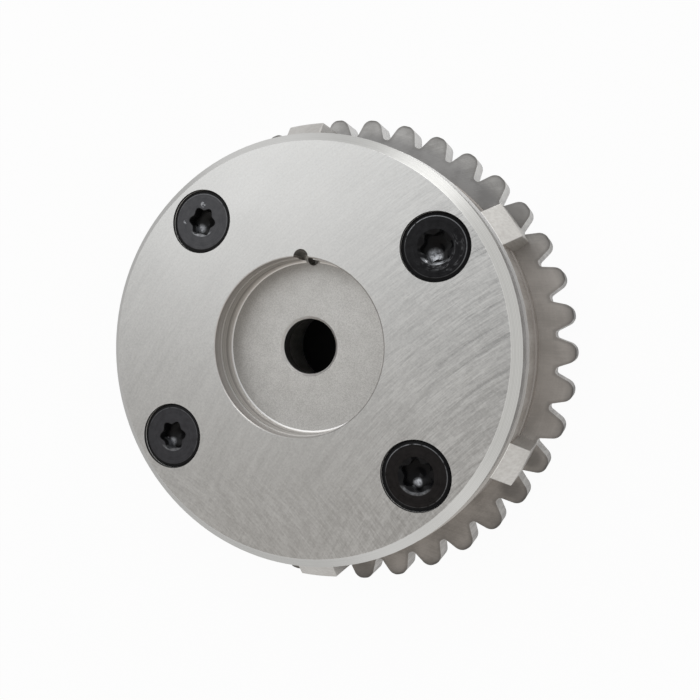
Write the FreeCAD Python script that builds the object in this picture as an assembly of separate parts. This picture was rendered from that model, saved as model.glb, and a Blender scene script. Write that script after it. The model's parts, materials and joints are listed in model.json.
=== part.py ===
# Vane-type cam phaser with an inverted-tooth chain sprocket, lying on the rear face of the sprocket.
# Z is the camshaft axis and points out of the front cover; the origin is on it, in the rear face.
# The notch in the front cover is on the Y axis.
# Lengths are millimetres, angles are degrees, anticlockwise as seen from the front.

import math
import os

import FreeCAD
import Part

# Chain sprocket
chainPitch = 8.0
toothCount = 40
toothHeight = 4.0
toothWidth = 4.65           # at half the tooth's height
flankAngle = 20.5           # of each flank to the tooth's centre line
toothTipFlat = 0.25         # left between the two rounds of a tooth's tip
toothRootRound = 0.7
toothEndChamfer = 0.12
firstToothAngle = 2.0
sprocketThickness = 7.4
journalBoreRadius = 18.0
boreChamfer = 0.6

# Stator housing
housingRadius = 43.5
housingWall = 4.5
rearLipHeight = 5.0
rearLipRise = 0.25
lugAngles = (34.9, 95.6, 155.0, 215.0, 274.4, 334.4)
lugWidth = 7.7
lugRise = 3.8
lugEdgeRound = 0.25
lobeAngle = 26.0
lobeRootRound = 2.0
lobeTipRound = 1.0

# Front cover
coverThickness = 7.6
coverLedge = 0.5            # of the housing beyond the cover's edge
rimChamfer = 1.9
coverBoreRadius = 17.65
recessStep = 0.2            # of the hole's outer part beyond the bore
recessDepth = 3.0
recessEdgeBreak = 0.2
boreFootWidth = 0.4         # of the sloped lip at the foot of the bore
boreFootHeight = 0.2
notchRadius = 1.55
notchAngle = 90.0

# Countersunk screws, at uneven angles
screwAngles = (37.5, 132.5, 217.5, 318.5)
screwInset = 10.0           # of the screws' axes from the housing's outside
screwLength = 30.0
threadRadius = 2.95
threadGap = 0.05
screwHoleRadius = 3.3
headRadius = 6.5
headTopRadius = 5.8
headRimHeight = 0.2
headBevelHeight = 0.35
headSink = 0.35             # below the cover's face
headSideGap = 0.2
screwEndChamfer = 0.5
driveOuterRadius = 2.8
driveInnerRadius = 1.98
driveLobeRadius = 0.45
driveDepth = 2.9
drivePointRadius = 1.7
driveLeadIn = 0.3           # of the conical mouth beyond the lobes
driveLeadInAngle = 120.0
driveTurns = (12.0, 41.0, 5.0, 27.0)

# Rotor
rotorLength = 16.7
rotorEndPlay = 0.05
hubRadius = 21.0
vaneAngle = 18.0
vaneTipRound = 2.0
vaneRootRound = 0.6
swingAngle = 30.0
stopPlay = 0.5              # angle left at each end of the swing
runningGap = 0.15           # vane tips and lobe tips to what they pass
journalGap = 0.04
journalRecess = 0.4         # of the journal's end behind the sprocket's rear face
boltBoreRadius = 5.7
boltWebThickness = 3.6
boltBoreChamfer = 0.5
annulusRadius = 7.6
camshaftSocketRadius = 13.0
camshaftSocketDepth = 7.0
feedHoleRadius = 1.5
feedHoleOffset = 5.0        # angle from the vane's side
frontFeedHeight = 12.0      # above the rotor's rear face
rearFeedHeight = 5.0
dowelHoleRadius = 2.0
dowelHoleDepth = 5.0
dowelHoleAngle = 38.5
alignHoleRadius = 1.2
alignHoleDepth = 4.0

# Tip seals and the leaf springs under them
grooveWidth = 2.1
grooveDepth = 3.4
sealWidth = 2.0
sealDepth = 2.6
sealTipGap = 0.04
leafThickness = 0.25
leafWidth = 1.6
leafLength = 14.0
leafGap = 0.02

# Lock pin, in the widest vane
lockPinWall = 1.15          # metal between the cap's seat and the seal's groove
lockNoseRadius = 4.0
lockFlangeRadius = 4.95
lockPinGap = 0.05
lockStepHeight = 4.0        # of the pin's shoulder above the rotor's rear face
lockReach = 3.2             # into the seat when locked
lockLift = 0.1              # of the nose above the sprocket's face as modelled
lockFlangeLength = 5.6
lockCupRadius = 3.3
lockCupFloor = 2.6
lockEdge = 0.4
capRadius = 5.75
capThickness = 1.6
capGap = 0.05
capSink = 0.1
capVentRadius = 0.7
springWireRadius = 0.35
springCoilRadius = 2.75
springTurns = 5.5
springRunsPerTurn = 16
springGap = 0.02
seatOuterRadius = 6.0
seatInnerRadius = 4.2
seatHeight = 4.4
seatEdge = 0.3
releaseGrooveWidth = 1.4
releaseGrooveDepth = 0.6

# Levels and radii that follow
housingLength = rotorLength + 2.0 * rotorEndPlay
housingBase = sprocketThickness
coverBase = housingBase + housingLength
frontFace = coverBase + coverThickness
rotorBase = housingBase + rotorEndPlay
rotorFace = rotorBase + rotorLength
tipRadius = chainPitch / (2.0 * math.sin(math.pi / toothCount))
rootRadius = tipRadius - toothHeight
chamberRadius = housingRadius - housingWall
coverRadius = housingRadius - coverLedge
recessRadius = coverBoreRadius + recessStep
screwCircleRadius = housingRadius - screwInset
lobeTipRadius = hubRadius + runningGap
vaneTipRadius = chamberRadius - runningGap
lockPinCircleRadius = vaneTipRadius - grooveDepth - lockPinWall - capGap - capRadius
feedCircleRadius = (annulusRadius + camshaftSocketRadius) / 2.0
journalRadius = journalBoreRadius - journalGap
socketFloor = journalRecess + camshaftSocketDepth
screwTop = frontFace - headSink
threadHoleRadius = threadRadius + threadGap
overcut = 1.0               # length by which a cutting solid passes the face that it opens
sameLength = 1e-3           # lengths that differ by less are taken as equal

axisZ = FreeCAD.Vector(0, 0, 1)
origin = FreeCAD.Vector(0, 0, 0)


def chamberGaps():
    # Centre and width, as angles, of the free space between each pair of neighbouring lobes.
    gaps = []
    for index, start in enumerate(screwAngles):
        end = screwAngles[(index + 1) % len(screwAngles)]
        span = (end - start) % 360.0
        gaps.append((start + span / 2.0, span - lobeAngle))
    return gaps


def vanePlaces():
    # Centre and width of each vane, with the rotor at the anticlockwise end of its swing. The widest
    # vane carries the lock pin and is the one that meets the lobes at both ends.
    gaps = chamberGaps()
    widest = max(range(len(gaps)), key=lambda index: gaps[index][1])
    places = []
    for index, (centre, width) in enumerate(gaps):
        vaneWidth = vaneAngle
        if index == widest:
            vaneWidth = width - swingAngle - 2.0 * stopPlay
        places.append((centre + swingAngle / 2.0, vaneWidth))
    return places, widest


def polar(radius, angle, z=0.0):
    turn = math.radians(angle)
    return FreeCAD.Vector(radius * math.cos(turn), radius * math.sin(turn), z)


def turnedTo(shape, angle):
    # A copy of a shape, turned about the camshaft axis.
    copy = shape.copy()
    copy.rotate(origin, axisZ, angle)
    return copy


def disc(radius, bottom, top, centre=origin):
    place = FreeCAD.Vector(centre.x, centre.y, bottom)
    return Part.makeCylinder(radius, top - bottom, place)


def lathe(profile, centre=origin):
    # A solid of revolution about the vertical through centre, from its (radius, height) corners.
    points = [FreeCAD.Vector(radius, 0, height) for radius, height in profile]
    face = Part.Face(Part.makePolygon(points + points[:1]))
    solid = face.revolve(origin, axisZ, 360.0)
    solid.translate(FreeCAD.Vector(centre.x, centre.y, 0))
    return solid


def sector(inner, outer, centreAngle, width, bottom, top):
    # A block between two radii and two radial planes.
    slice_ = Part.makeCylinder(outer, top - bottom, FreeCAD.Vector(0, 0, bottom), axisZ, width)
    slice_.rotate(origin, axisZ, centreAngle - width / 2.0)
    return slice_.cut(disc(inner, bottom - overcut, top + overcut))


def radialBar(inner, outer, width, bottom, top, angle):
    # A straight bar of rectangular section that runs outward at an angle.
    bar = Part.makeBox(outer - inner, width, top - bottom, FreeCAD.Vector(inner, -width / 2.0, bottom))
    return turnedTo(bar, angle)


def radialHole(radius, inner, outer, height, angle):
    hole = Part.makeCylinder(radius, outer - inner, FreeCAD.Vector(inner, 0, height), FreeCAD.Vector(1, 0, 0))
    return turnedTo(hole, angle)


def uprightEdges(shape, radius):
    # The straight edges along Z that stand at a radius from the axis.
    found = []
    for edge in shape.Edges:
        first, last = edge.Vertexes[0].Point, edge.Vertexes[-1].Point
        upright = math.hypot(first.x - last.x, first.y - last.y) < sameLength < abs(first.z - last.z)
        if upright and abs(math.hypot(first.x, first.y) - radius) < sameLength:
            found.append(edge)
    return found


def roundedLoop(corners):
    # A closed flat outline of straight lines, with each (x, y, round) corner rounded by a tangent arc.
    edges = []
    arcs = []
    count = len(corners)
    for index, (x, y, radius) in enumerate(corners):
        corner = FreeCAD.Vector(x, y, 0)
        before = FreeCAD.Vector(*corners[index - 1][:2], 0) - corner
        after = FreeCAD.Vector(*corners[(index + 1) % count][:2], 0) - corner
        before.normalize()
        after.normalize()
        half = before.getAngle(after) / 2.0
        middle = before + after
        middle.normalize()
        tangent = radius / math.tan(half)
        centre = corner + middle * (radius / math.sin(half))
        arcs.append((corner + before * tangent, centre - middle * radius, corner + after * tangent))
    for index, (start, middle, end) in enumerate(arcs):
        edges.append(Part.Arc(start, middle, end).toShape())
        edges.append(Part.LineSegment(end, arcs[(index + 1) % count][0]).toShape())
    return Part.Wire(edges)


def toothedPrism():
    # Straight-sided teeth, repeated around the sprocket. The rounds of a tip leave only its flat.
    slope = math.tan(math.radians(flankAngle))
    tipHalf = toothWidth / 2.0 - slope * toothHeight / 2.0
    rootHalf = toothWidth / 2.0 + slope * toothHeight / 2.0
    tipCorner = math.radians(90.0 + flankAngle)
    tipRound = (tipHalf - toothTipFlat / 2.0) * math.tan(tipCorner / 2.0)
    corners = []
    for tooth in range(toothCount):
        angle = firstToothAngle + tooth * 360.0 / toothCount
        for radius, side, edgeRound in ((rootRadius, -rootHalf, toothRootRound),
                                        (tipRadius, -tipHalf, tipRound),
                                        (tipRadius, tipHalf, tipRound),
                                        (rootRadius, rootHalf, toothRootRound)):
            point = polar(radius, angle) + polar(side, angle + 90.0)
            corners.append((point.x, point.y, edgeRound))
    return Part.Face(roundedLoop(corners)).extrude(FreeCAD.Vector(0, 0, sprocketThickness))


def sprocketPlate():
    blank = lathe([(0, 0), (tipRadius - toothEndChamfer, 0), (tipRadius, toothEndChamfer),
                   (tipRadius, sprocketThickness - toothEndChamfer),
                   (tipRadius - toothEndChamfer, sprocketThickness), (0, sprocketThickness)])
    bore = lathe([(0, -overcut), (journalBoreRadius + boreChamfer + overcut, -overcut),
                  (journalBoreRadius, boreChamfer), (journalBoreRadius, sprocketThickness + overcut),
                  (0, sprocketThickness + overcut)])
    plate = toothedPrism().common(blank).cut(bore)
    for angle in screwAngles:
        plate = plate.cut(threadHole(polar(screwCircleRadius, angle)))
    pocket = disc(seatOuterRadius, sprocketThickness - seatHeight, sprocketThickness + overcut, lockPinPlace())
    return plate.cut(pocket)


def threadHole(centre):
    mouth = threadHoleRadius + screwEndChamfer
    return lathe([(0, -overcut), (mouth + overcut, -overcut), (threadHoleRadius, screwEndChamfer),
                  (threadHoleRadius, sprocketThickness + overcut), (0, sprocketThickness + overcut)], centre)


def lug(angle):
    # The form is turned, with a 45 degree front, and then milled to a bar.
    outer = housingRadius + lugRise
    form = lathe([(0, housingBase), (outer, housingBase), (outer, coverBase - lugRise),
                  (housingRadius, coverBase), (0, coverBase)])
    bar = radialBar(chamberRadius + housingWall / 2.0, outer + overcut, lugWidth, housingBase, coverBase, 0.0)
    solid = bar.common(form)
    edges = []
    for edge in solid.Edges:
        radii = [math.hypot(vertex.X, vertex.Y) for vertex in edge.Vertexes]
        heights = [vertex.Z for vertex in edge.Vertexes]
        if max(radii) > housingRadius + lugRise / 2.0 and max(heights) > housingBase + sameLength:
            edges.append(edge)
    return turnedTo(solid.makeFillet(lugEdgeRound, edges), angle)


def chamberCore():
    # The free space inside the housing: a cylinder less the four lobes.
    core = disc(chamberRadius, housingBase - overcut, coverBase + overcut)
    for angle in screwAngles:
        core = core.cut(sector(lobeTipRadius, chamberRadius + overcut, angle, lobeAngle,
                               housingBase - 2.0 * overcut, coverBase + 2.0 * overcut))
    core = core.makeFillet(lobeRootRound, uprightEdges(core, chamberRadius))
    return core.makeFillet(lobeTipRound, uprightEdges(core, lobeTipRadius))


def statorHousing():
    lip = housingRadius + rearLipRise
    body = lathe([(0, housingBase), (lip, housingBase), (lip, housingBase + rearLipHeight - rearLipRise),
                  (housingRadius, housingBase + rearLipHeight), (housingRadius, coverBase), (0, coverBase)])
    for angle in lugAngles:
        body = body.fuse(lug(angle))
    body = body.cut(chamberCore())
    for angle in screwAngles:
        body = body.cut(disc(screwHoleRadius, housingBase - overcut, coverBase + overcut,
                             polar(screwCircleRadius, angle)))
        body = body.cut(radialBar(lobeTipRadius - overcut, lobeTipRadius + grooveDepth, grooveWidth,
                                  housingBase - overcut, coverBase + overcut, angle))
    return body.removeSplitter()


def screwSeat(centre):
    # A short straight mouth, a 90 degree countersink and the clearance hole.
    mouth = headRadius + headSideGap
    coneTop = screwTop - headBevelHeight - headRimHeight + headSideGap
    return lathe([(0, coverBase - overcut), (screwHoleRadius, coverBase - overcut),
                  (screwHoleRadius, coneTop - (mouth - screwHoleRadius)), (mouth, coneTop),
                  (mouth, frontFace + overcut), (0, frontFace + overcut)], centre)


def frontCover():
    cover = lathe([(coverBoreRadius - boreFootWidth, coverBase), (coverRadius, coverBase),
                   (coverRadius, frontFace - rimChamfer), (coverRadius - rimChamfer, frontFace),
                   (recessRadius + recessEdgeBreak, frontFace), (recessRadius, frontFace - recessEdgeBreak),
                   (recessRadius, frontFace - recessDepth), (coverBoreRadius, frontFace - recessDepth),
                   (coverBoreRadius, coverBase + boreFootHeight)])
    cover = cover.cut(disc(notchRadius, coverBase - overcut, frontFace + overcut,
                           polar(recessRadius, notchAngle)))
    for angle in screwAngles:
        cover = cover.cut(screwSeat(polar(screwCircleRadius, angle)))
    return cover


def sixLobe(bottom, top):
    # A socket of six round lobes, joined by tangent hollows between them.
    centreRadius = driveOuterRadius - driveLobeRadius
    cosine = math.cos(math.radians(30.0))
    above = (driveLobeRadius ** 2 - centreRadius ** 2 - driveInnerRadius ** 2
             + 2.0 * centreRadius * driveInnerRadius * cosine)
    below = 2.0 * (driveInnerRadius - centreRadius * cosine - driveLobeRadius)
    hollowRadius = above / below
    share = driveLobeRadius / (driveLobeRadius + hollowRadius)
    edges = []
    for lobe in range(6):
        angle = 60.0 * lobe
        centre = polar(centreRadius, angle)
        ends = []
        for side in (-30.0, 30.0):
            hollow = polar(driveInnerRadius + hollowRadius, angle + side)
            ends.append(centre + (hollow - centre) * share)
        nextStart = turnedPoint(ends[0], 60.0)
        edges.append(Part.Arc(ends[0], polar(driveOuterRadius, angle), ends[1]).toShape())
        edges.append(Part.Arc(ends[1], polar(driveInnerRadius, angle + 30.0), nextStart).toShape())
    prism = Part.Face(Part.Wire(edges)).extrude(FreeCAD.Vector(0, 0, top - bottom))
    prism.translate(FreeCAD.Vector(0, 0, bottom))
    return prism


def turnedPoint(point, angle):
    return FreeCAD.Rotation(axisZ, angle).multVec(point)


def coverScrew(angle, turn):
    tail = screwTop - screwLength
    rimTop = screwTop - headBevelHeight
    rimBottom = rimTop - headRimHeight
    screw = lathe([(0, tail), (threadRadius - screwEndChamfer, tail), (threadRadius, tail + screwEndChamfer),
                   (threadRadius, rimBottom - (headRadius - threadRadius)), (headRadius, rimBottom),
                   (headRadius, rimTop), (headTopRadius, screwTop), (0, screwTop)])
    drive = sixLobe(screwTop - driveDepth, screwTop + overcut)
    drillPoint = lathe([(0, screwTop - driveDepth - drivePointRadius / 2.0),
                        (drivePointRadius, screwTop - driveDepth), (0, screwTop - driveDepth + overcut)])
    mouth = driveOuterRadius + driveLeadIn
    leadInDepth = mouth / math.tan(math.radians(driveLeadInAngle / 2.0))
    leadIn = lathe([(0, screwTop - leadInDepth), (mouth, screwTop), (0, screwTop + overcut)])
    screw = screw.cut(drive).cut(drillPoint).cut(leadIn)
    screw = turnedTo(screw, turn)
    screw.translate(polar(screwCircleRadius, angle))
    return screw


def lockPinPlace():
    places, widest = vanePlaces()
    return polar(lockPinCircleRadius, places[widest][0])


def rotorBody():
    places, widest = vanePlaces()
    body = disc(hubRadius, rotorBase, rotorFace)
    for angle, width in places:
        body = body.fuse(sector(hubRadius - overcut, vaneTipRadius, angle, width, rotorBase, rotorFace))
    body = body.removeSplitter()
    body = body.makeFillet(vaneTipRound, uprightEdges(body, vaneTipRadius))
    body = body.makeFillet(vaneRootRound, uprightEdges(body, hubRadius))
    body = body.fuse(disc(journalRadius, journalRecess, rotorBase))
    for angle, width in places:
        body = body.cut(radialBar(vaneTipRadius - grooveDepth, vaneTipRadius + overcut, grooveWidth,
                                  rotorBase - overcut, rotorFace + overcut, angle))
    return body.removeSplitter()


def centreBores():
    # From the rear: the camshaft's socket, the oil space round the bolt, and the bolt's own bore.
    webBottom = rotorFace - boltWebThickness
    return lathe([(0, journalRecess - overcut), (camshaftSocketRadius + boltBoreChamfer + overcut,
                                                 journalRecess - overcut),
                  (camshaftSocketRadius, journalRecess + boltBoreChamfer), (camshaftSocketRadius, socketFloor),
                  (annulusRadius, socketFloor), (annulusRadius, webBottom), (boltBoreRadius, webBottom),
                  (boltBoreRadius, rotorFace - boltBoreChamfer),
                  (boltBoreRadius + boltBoreChamfer + overcut, rotorFace + overcut), (0, rotorFace + overcut)])


def oilPassages():
    # Each vane has a port at one side, fed from the space round the bolt, and one at the other side,
    # fed by a hole in the floor of the camshaft's socket.
    places, widest = vanePlaces()
    cuts = []
    for angle, width in places:
        offset = width / 2.0 + feedHoleOffset
        frontHeight = rotorBase + frontFeedHeight
        rearHeight = rotorBase + rearFeedHeight
        cuts.append(radialHole(feedHoleRadius, annulusRadius - overcut, hubRadius + overcut,
                               frontHeight, angle + offset))
        cuts.append(radialHole(feedHoleRadius, feedCircleRadius, hubRadius + overcut, rearHeight,
                               angle - offset))
        cuts.append(disc(feedHoleRadius, socketFloor - overcut, rearHeight,
                         polar(feedCircleRadius, angle - offset)))
    cuts.append(disc(dowelHoleRadius, socketFloor - overcut, socketFloor + dowelHoleDepth,
                     polar(feedCircleRadius, dowelHoleAngle)))
    return cuts


def lockPinBores():
    # The stepped bore of the pin, the cap's seat in the front face and the groove that lets oil in
    # under the pin from the chamber at the anticlockwise side of the vane.
    places, widest = vanePlaces()
    angle, width = places[widest]
    step = rotorBase + lockStepHeight
    noseBore = lockNoseRadius + lockPinGap
    mainBore = lockFlangeRadius + lockPinGap
    seat = rotorFace - capSink - capThickness
    bore = lathe([(0, rotorBase - overcut), (noseBore, rotorBase - overcut), (noseBore, step),
                  (mainBore, step), (mainBore, seat), (capRadius + capGap, seat),
                  (capRadius + capGap, rotorFace + overcut), (0, rotorFace + overcut)], lockPinPlace())
    reach = lockPinCircleRadius * math.radians(width / 2.0) + overcut
    groove = Part.makeBox(releaseGrooveWidth, reach, releaseGrooveDepth + overcut,
                          FreeCAD.Vector(lockPinCircleRadius - releaseGrooveWidth / 2.0, 0,
                                         rotorBase - overcut))
    return [bore, turnedTo(groove, angle)]


def rotor():
    body = rotorBody().cut(centreBores())
    for cutter in oilPassages() + lockPinBores():
        body = body.cut(cutter)
    alignPoint = rotorFace - alignHoleDepth
    alignHole = lathe([(0, alignPoint - alignHoleRadius / 2.0), (alignHoleRadius, alignPoint),
                       (alignHoleRadius, rotorFace + overcut), (0, rotorFace + overcut)],
                      polar(recessRadius, notchAngle))
    return body.cut(alignHole)


def vaneSeal(angle):
    tip = chamberRadius - sealTipGap
    bar = radialBar(tip - sealDepth, tip + overcut, sealWidth, rotorBase, rotorFace, 0.0)
    return turnedTo(bar.common(disc(tip, rotorBase, rotorFace)), angle)


def lobeSeal(angle):
    tip = hubRadius + sealTipGap
    bar = radialBar(tip - overcut, tip + sealDepth, sealWidth, rotorBase, rotorFace, 0.0)
    return turnedTo(bar.cut(disc(tip, rotorBase - overcut, rotorFace + overcut)), angle)


def leafSpring(grooveFloor, sealFoot, angle):
    # A bowed strip: its ends bear on the groove's floor and its middle on the seal.
    outward = 1.0 if sealFoot > grooveFloor else -1.0
    middle = (rotorBase + rotorFace) / 2.0
    foot = grooveFloor + outward * leafGap
    crown = sealFoot - outward * leafGap
    back = outward * leafThickness

    def at(radius, height):
        return FreeCAD.Vector(radius, -leafWidth / 2.0, height)

    low, high = middle - leafLength / 2.0, middle + leafLength / 2.0
    outer = Part.Arc(at(foot + back, low), at(crown, middle), at(foot + back, high)).toShape()
    inner = Part.Arc(at(foot, low), at(crown - back, middle), at(foot, high)).toShape()
    lowEnd = Part.LineSegment(at(foot, low), at(foot + back, low)).toShape()
    highEnd = Part.LineSegment(at(foot + back, high), at(foot, high)).toShape()
    face = Part.Face(Part.Wire(Part.__sortEdges__([outer, highEnd, inner, lowEnd])))
    return turnedTo(face.extrude(FreeCAD.Vector(0, leafWidth, 0)), angle)


def vaneSealSpring(angle):
    return leafSpring(vaneTipRadius - grooveDepth, chamberRadius - sealTipGap - sealDepth, angle)


def lobeSealSpring(angle):
    return leafSpring(lobeTipRadius + grooveDepth, hubRadius + sealTipGap + sealDepth, angle)


def lockPinLevels():
    # The nose's end, the shoulder and the top of the pin, with its nose just clear of the seat.
    nose = sprocketThickness + lockLift
    shoulder = nose + rotorEndPlay + lockStepHeight + lockReach
    return nose, shoulder, shoulder + lockFlangeLength


def lockPin():
    nose, shoulder, top = lockPinLevels()
    return lathe([(0, nose), (lockNoseRadius - lockEdge, nose), (lockNoseRadius, nose + lockEdge),
                  (lockNoseRadius, shoulder), (lockFlangeRadius, shoulder),
                  (lockFlangeRadius, top - lockEdge), (lockFlangeRadius - lockEdge, top),
                  (lockCupRadius, top), (lockCupRadius, nose + lockCupFloor), (0, nose + lockCupFloor)],
                 lockPinPlace())


def lockPinCap():
    top = rotorFace - capSink
    return lathe([(capVentRadius, top - capThickness), (capRadius, top - capThickness), (capRadius, top),
                  (capVentRadius, top)], lockPinPlace())


def lockPinSpring():
    # A coil of short straight runs with mitred joints.
    nose, shoulder, top = lockPinLevels()
    low = nose + lockCupFloor + springWireRadius + springGap
    high = rotorFace - capSink - capThickness - springWireRadius - springGap
    runs = int(springTurns * springRunsPerTurn)
    points = [polar(springCoilRadius, 360.0 * run / springRunsPerTurn, low + (high - low) * run / runs)
              for run in range(runs + 1)]
    section = Part.Wire(Part.makeCircle(springWireRadius, points[0], points[1] - points[0]))
    coil = Part.makePolygon(points).makePipeShell([section], True, False, 1)
    place = lockPinPlace()
    coil.translate(FreeCAD.Vector(place.x, place.y, 0))
    return coil


def lockPinSeat():
    bottom = sprocketThickness - seatHeight
    return lathe([(seatInnerRadius, bottom), (seatOuterRadius, bottom), (seatOuterRadius, sprocketThickness),
                  (seatInnerRadius + seatEdge, sprocketThickness),
                  (seatInnerRadius, sprocketThickness - seatEdge)], lockPinPlace())


def allParts():
    places, widest = vanePlaces()
    parts = {
        "front_cover": frontCover(),
        "stator_housing": statorHousing(),
        "sprocket_plate": sprocketPlate(),
        "rotor": rotor(),
        "lock_pin": lockPin(),
        "lock_pin_spring": lockPinSpring(),
        "lock_pin_cap": lockPinCap(),
        "lock_pin_seat": lockPinSeat(),
    }
    for index, (angle, width) in enumerate(places, 1):
        parts[f"vane_seal_{index}"] = vaneSeal(angle)
        parts[f"vane_seal_spring_{index}"] = vaneSealSpring(angle)
    for index, (angle, turn) in enumerate(zip(screwAngles, driveTurns), 1):
        parts[f"lobe_seal_{index}"] = lobeSeal(angle)
        parts[f"lobe_seal_spring_{index}"] = lobeSealSpring(angle)
        parts[f"cover_screw_{index}"] = coverScrew(angle, turn)
    return parts


os.makedirs("parts", exist_ok=True)
for name, shape in allParts().items():
    shape.exportStep(f"parts/{name}.step")
    print(name, round(shape.Volume, 1), "mm3", len(shape.Solids), "solid", shape.isValid())
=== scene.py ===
import json
import math

import bpy
import numpy as np
from mathutils import Matrix, Vector


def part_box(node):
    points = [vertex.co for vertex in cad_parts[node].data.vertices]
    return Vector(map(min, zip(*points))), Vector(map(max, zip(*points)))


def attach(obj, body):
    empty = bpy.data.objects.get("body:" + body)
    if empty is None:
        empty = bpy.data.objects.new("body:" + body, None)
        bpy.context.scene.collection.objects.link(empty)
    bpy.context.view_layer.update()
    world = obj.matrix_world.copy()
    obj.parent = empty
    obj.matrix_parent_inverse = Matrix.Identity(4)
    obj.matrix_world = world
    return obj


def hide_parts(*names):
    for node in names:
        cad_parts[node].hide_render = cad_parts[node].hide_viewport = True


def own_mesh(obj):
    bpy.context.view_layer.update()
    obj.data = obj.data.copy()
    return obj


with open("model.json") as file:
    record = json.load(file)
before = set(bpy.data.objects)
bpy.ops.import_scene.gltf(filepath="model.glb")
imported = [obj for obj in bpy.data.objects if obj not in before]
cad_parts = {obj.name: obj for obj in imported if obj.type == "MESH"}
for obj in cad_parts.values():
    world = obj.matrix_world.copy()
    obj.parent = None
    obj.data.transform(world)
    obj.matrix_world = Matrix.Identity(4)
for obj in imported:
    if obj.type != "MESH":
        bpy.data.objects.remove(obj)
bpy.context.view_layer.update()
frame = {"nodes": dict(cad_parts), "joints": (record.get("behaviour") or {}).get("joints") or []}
print("frame loaded:", len(frame["nodes"]), "nodes")

mm = 0.001


def boxInMm(node):
    # A node's lowest and highest corners in millimetres.
    return [[value / mm for value in corner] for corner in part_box(node)]


coverLow, coverHigh = boxInMm("front_cover")
plateLow, plateHigh = boxInMm("sprocket_plate")
coverFoot, coverTop = coverLow[2], coverHigh[2]
coverRadius = (coverHigh[0] - coverLow[0]) / 2.0
toothTipRadius = (plateHigh[1] - plateLow[1]) / 2.0
plateTop = plateHigh[2]
housingTop = boxInMm("stator_housing")[1][2]
rotorTop = boxInMm("rotor")[1][2]


# Shader maths

class Wire:
    # A socket in a material's tree; arithmetic on it adds Math nodes.
    def __init__(self, tree, socket):
        self.tree = tree
        self.socket = socket

    def node(self, kind, settings, inputs, output=0):
        # Any other node: its settings, then the values or links of its sockets.
        made = self.tree.nodes.new(kind)
        for name, value in settings.items():
            setattr(made, name, value)
        for key, value in inputs.items():
            if isinstance(value, Wire):
                self.tree.links.new(value.socket, made.inputs[key])
            else:
                made.inputs[key].default_value = value
        return Wire(self.tree, made.outputs[output])

    def maths(self, operation, *others):
        return self.node("ShaderNodeMath", {"operation": operation}, dict(enumerate((self, *others))))

    def __add__(self, other):
        return self.maths("ADD", other)

    def __sub__(self, other):
        return self.maths("SUBTRACT", other)

    def __rsub__(self, other):
        return self.node("ShaderNodeMath", {"operation": "SUBTRACT"}, {0: other, 1: self})

    def __mul__(self, other):
        return self.maths("MULTIPLY", other)

    def __truediv__(self, other):
        return self.maths("DIVIDE", other)

    def __abs__(self):
        return self.maths("ABSOLUTE")

    __radd__ = __add__
    __rmul__ = __mul__

    def root(self):
        return self.maths("SQRT")

    def most(self, other):
        return self.maths("MAXIMUM", other)

    def step(self, low, high):
        # Rises smoothly from 0 to 1 between two values, or falls if low is the greater.
        ends = (low, high, 0.0, 1.0) if low <= high else (high, low, 1.0, 0.0)
        return self.node("ShaderNodeMapRange", {"interpolation_type": "SMOOTHSTEP"},
                         dict(enumerate((self, *ends))))

    def parts(self):
        return [self.node("ShaderNodeSeparateXYZ", {}, {0: self}, axis) for axis in range(3)]

    def stretched(self, parts, scales):
        # A place made of three parts, each times its scale, so that noise there is drawn out.
        return self.node("ShaderNodeCombineXYZ", {},
                         dict(enumerate(part * scale for part, scale in zip(parts, scales))))

    def noise(self, scale, detail=2.0, roughness=0.5):
        return self.node("ShaderNodeTexNoise", {}, {"Vector": self, "Scale": scale, "Detail": detail,
                                                    "Roughness": roughness})

    def tint(self, first, second):
        # A colour between two, with this wire as the share of the second.
        return self.node("ShaderNodeMix", {"data_type": "RGBA", "clamp_factor": True},
                         {0: self, 6: opaque(first), 7: opaque(second)}, 2)


def opaque(colour):
    return colour if isinstance(colour, Wire) else (*colour, 1.0)


def openFinish(name, constants):
    # A material with its shader's constant sockets set, and its Object coordinates in millimetres.
    material = bpy.data.materials.new(name)
    material.use_nodes = True
    tree = material.node_tree
    tree.nodes.clear()
    output = tree.nodes.new("ShaderNodeOutputMaterial")
    shader = tree.nodes.new("ShaderNodeBsdfPrincipled")
    for socket, value in constants.items():
        shader.inputs[socket].default_value = value
    tree.links.new(shader.outputs[0], output.inputs[0])
    coordinates = tree.nodes.new("ShaderNodeTexCoord")
    metres = Wire(tree, coordinates.outputs["Object"])
    place = metres.node("ShaderNodeVectorMath", {"operation": "SCALE"}, {0: metres, "Scale": 1.0 / mm})
    return material, shader, place


def closeFinish(material, shader, colour, roughness, height, relief):
    # Links what varies: colour, roughness and a bump, its height times relief in millimetres.
    tree = material.node_tree
    tree.links.new(colour.socket, shader.inputs["Base Color"])
    tree.links.new(roughness.socket, shader.inputs["Roughness"])
    bump = height.node("ShaderNodeBump", {}, {"Strength": 1.0, "Distance": relief * mm, "Height": height})
    tree.links.new(bump.socket, shader.inputs["Normal"])
    return material


def around(place, centre=(0.0, 0.0)):
    # Distance from an upright axis, distance round it, and height, in millimetres.
    x, y, z = place.parts()
    x = x - centre[0]
    y = y - centre[1]
    radius = (x * x + y * y).root()
    return radius, y.maths("ARCTAN2", x) * radius, z


def scratches(place, centre, across, along, detail):
    # Long fine marks on circles round a grinding wheel's centre, about 0 in the mean.
    radius, arc, z = around(place, centre)
    return place.stretched((radius, arc, z), (across, along, across)).noise(1.0, detail, 0.6) - 0.5


def spotted(place, centre, spots):
    # The strongest of some round spots, each with its place from the centre and its reach.
    strongest = 0.0
    for across, up, reach in spots:
        away = around(place, (centre[0] + across, centre[1] + up))[0]
        strongest = away.step(reach, reach * 0.4).most(strongest)
    return strongest


# Ground front cover

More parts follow.
